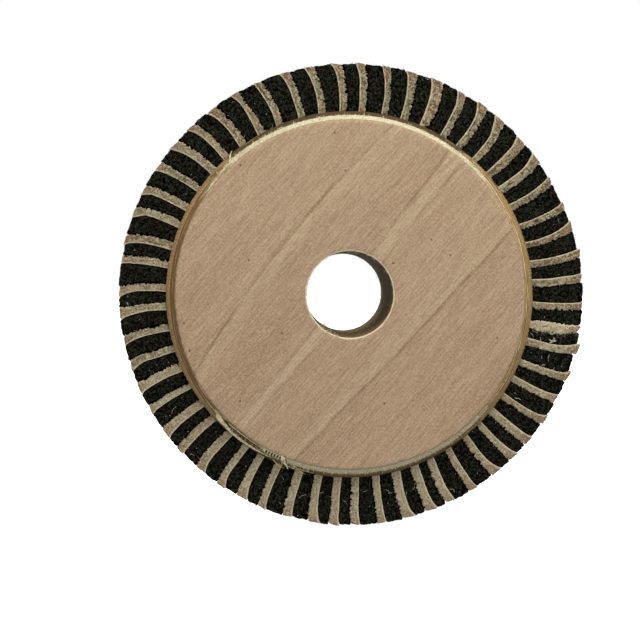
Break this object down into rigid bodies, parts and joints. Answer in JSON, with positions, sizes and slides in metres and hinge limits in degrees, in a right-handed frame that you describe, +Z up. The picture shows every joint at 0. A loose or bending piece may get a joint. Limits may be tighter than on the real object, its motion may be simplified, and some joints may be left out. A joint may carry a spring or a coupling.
{
  "type": "felt polishing wheel",
  "caption": "Round lapidary polishing wheel: a plywood hub with a spindle bore, ringed by felt and leather strips set on edge in turn.",
  "frame": {"origin": "middle of the spindle bore, halfway between the two cheeks' faces", "axes": "+Y along the spindle axis, from the front face to the back face; +Z up; +X to the right as the front face is seen"},
  "size_m": [0.152, 0.04, 0.152],
  "materials": {
    "plywood_face": "sanded tan face veneer, unvarnished, with slanting grain",
    "plywood_cross": "cream cross ply, end grain on the bevel at the top and bottom",
    "plywood_inner": "brown inner ply, rough sawn edge",
    "core_wood": "plywood boards, sawn and drilled, dull",
    "glue": "set amber glue",
    "felt": "black wool felt, dense, hairy, with pale lint",
    "leather": "pale tan split leather, smooth on one side and hairy on the other"
  },
  "bodies": {
    "root": {"front_cheek_face_veneer": "plywood_face", "front_cheek_cross_ply": "plywood_cross", "front_cheek_inner_ply": "plywood_inner", "back_cheek_face_veneer": "plywood_face", "back_cheek_cross_ply": "plywood_cross", "back_cheek_inner_ply": "plywood_inner", "core_board_front": "core_wood", "core_board_back": "core_wood", "root_glue_ring": "glue", "leather_strips_01": "leather", "felt_strips_01": "felt", "leather_strips_02": "leather", "felt_strips_02": "felt", "leather_strips_03": "leather", "felt_strips_03": "felt", "leather_strips_04": "leather", "felt_strips_04": "felt", "leather_strips_05": "leather", "felt_strips_05": "felt", "leather_strips_06": "leather", "felt_strips_06": "felt", "leather_strips_07": "leather", "felt_strips_07": "felt", "leather_strips_08": "leather", "felt_strips_08": "felt", "leather_strips_09": "leather", "felt_strips_09": "felt", "leather_strips_10": "leather", "felt_strips_10": "felt", "leather_strips_11": "leather", "felt_strips_11": "felt", "leather_strips_12": "leather", "felt_strips_12": "felt", "leather_strips_13": "leather", "felt_strips_13": "felt", "leather_strips_14": "leather", "felt_strips_14": "felt", "leather_strips_15": "leather", "felt_strips_15": "felt", "leather_strips_16": "leather", "felt_strips_16": "felt", "leather_strips_17": "leather", "felt_strips_17": "felt", "leather_strips_18": "leather", "felt_strips_18": "felt", "leather_strips_19": "leather", "felt_strips_19": "felt"}
  },
  "joints": []
}
